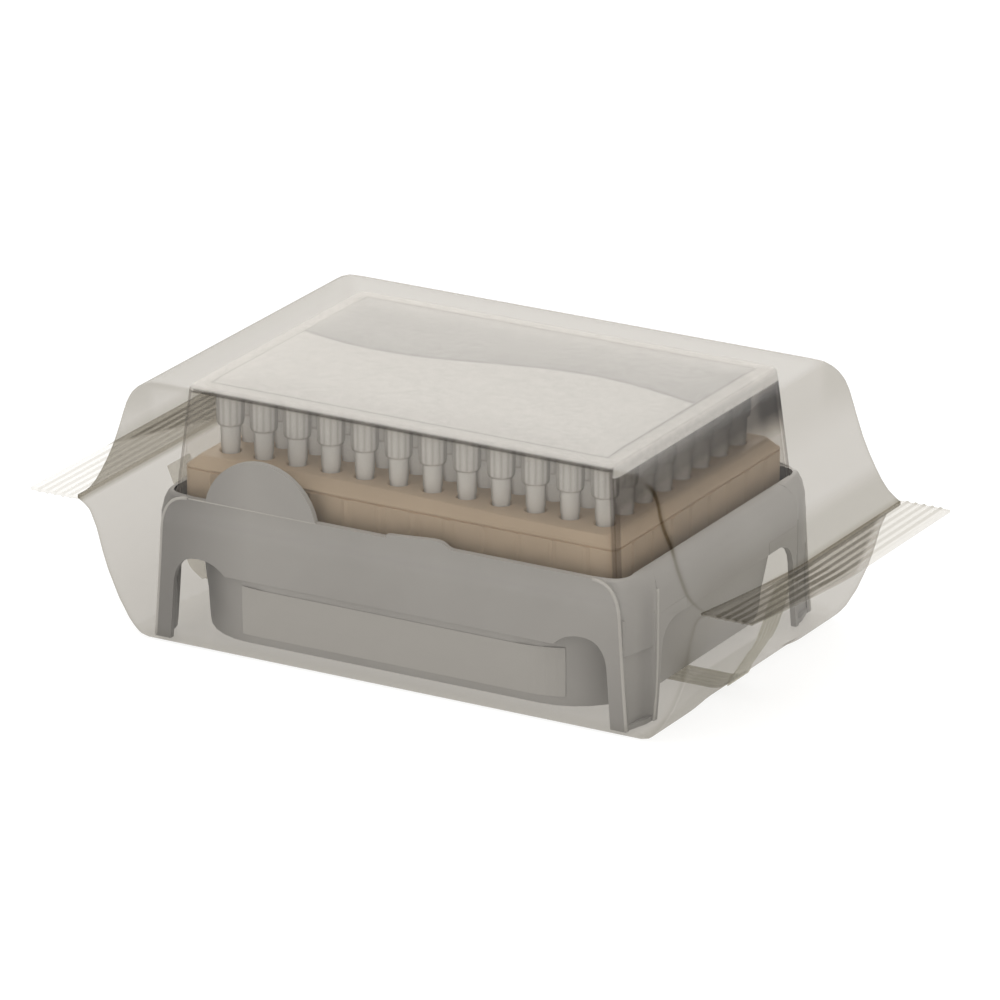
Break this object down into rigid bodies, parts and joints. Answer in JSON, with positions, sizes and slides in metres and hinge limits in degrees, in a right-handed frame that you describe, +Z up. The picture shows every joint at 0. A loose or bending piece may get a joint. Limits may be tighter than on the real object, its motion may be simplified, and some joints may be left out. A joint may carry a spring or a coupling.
{
  "type": "box of pipette tips",
  "caption": "Clear-wrapped laboratory box of pipette tips: grey base on corner legs, tan rack, clear lid with a wavy ridge, tips standing in rows, and film with crimped ends.",
  "frame": {"origin": "middle of the underside of the wrapped pack, level with the surface it stands on", "axes": "+X along the long side towards the right end seal, +Y from the front with the half-round tab to the back, +Z up"},
  "size_m": [0.1932, 0.0924, 0.0632],
  "materials": {
    "film": "clear thin packing film",
    "grey_plastic": "satin moulded plastic",
    "tan_plastic": "satin moulded plastic",
    "lid_plastic": "clear moulded plastic",
    "tip_plastic": "translucent moulded plastic"
  },
  "bodies": {
    "root": {"film_wrap": "film", "base": "grey_plastic", "rack": "tan_plastic", "lid": "lid_plastic", "tip_E01": "tip_plastic", "tip_E02": "tip_plastic", "tip_E03": "tip_plastic", "tip_E04": "tip_plastic", "tip_E05": "tip_plastic", "tip_E06": "tip_plastic", "tip_E07": "tip_plastic", "tip_E08": "tip_plastic", "tip_E09": "tip_plastic", "tip_E10": "tip_plastic", "tip_E11": "tip_plastic", "tip_E12": "tip_plastic", "tip_F01": "tip_plastic", "tip_F02": "tip_plastic", "tip_F03": "tip_plastic", "tip_F04": "tip_plastic", "tip_F05": "tip_plastic", "tip_F06": "tip_plastic", "tip_F07": "tip_plastic", "tip_F08": "tip_plastic", "tip_F09": "tip_plastic", "tip_F10": "tip_plastic", "tip_F11": "tip_plastic", "tip_F12": "tip_plastic", "tip_G01": "tip_plastic", "tip_G02": "tip_plastic", "tip_G03": "tip_plastic", "tip_G04": "tip_plastic", "tip_G05": "tip_plastic", "tip_G06": "tip_plastic", "tip_G07": "tip_plastic", "tip_G08": "tip_plastic", "tip_G09": "tip_plastic", "tip_G10": "tip_plastic", "tip_G11": "tip_plastic", "tip_G12": "tip_plastic", "tip_H01": "tip_plastic", "tip_H02": "tip_plastic", "tip_H03": "tip_plastic", "tip_H04": "tip_plastic", "tip_H05": "tip_plastic", "tip_H06": "tip_plastic", "tip_H07": "tip_plastic", "tip_H08": "tip_plastic", "tip_H09": "tip_plastic", "tip_H10": "tip_plastic", "tip_H11": "tip_plastic", "tip_H12": "tip_plastic"}
  },
  "joints": []
}
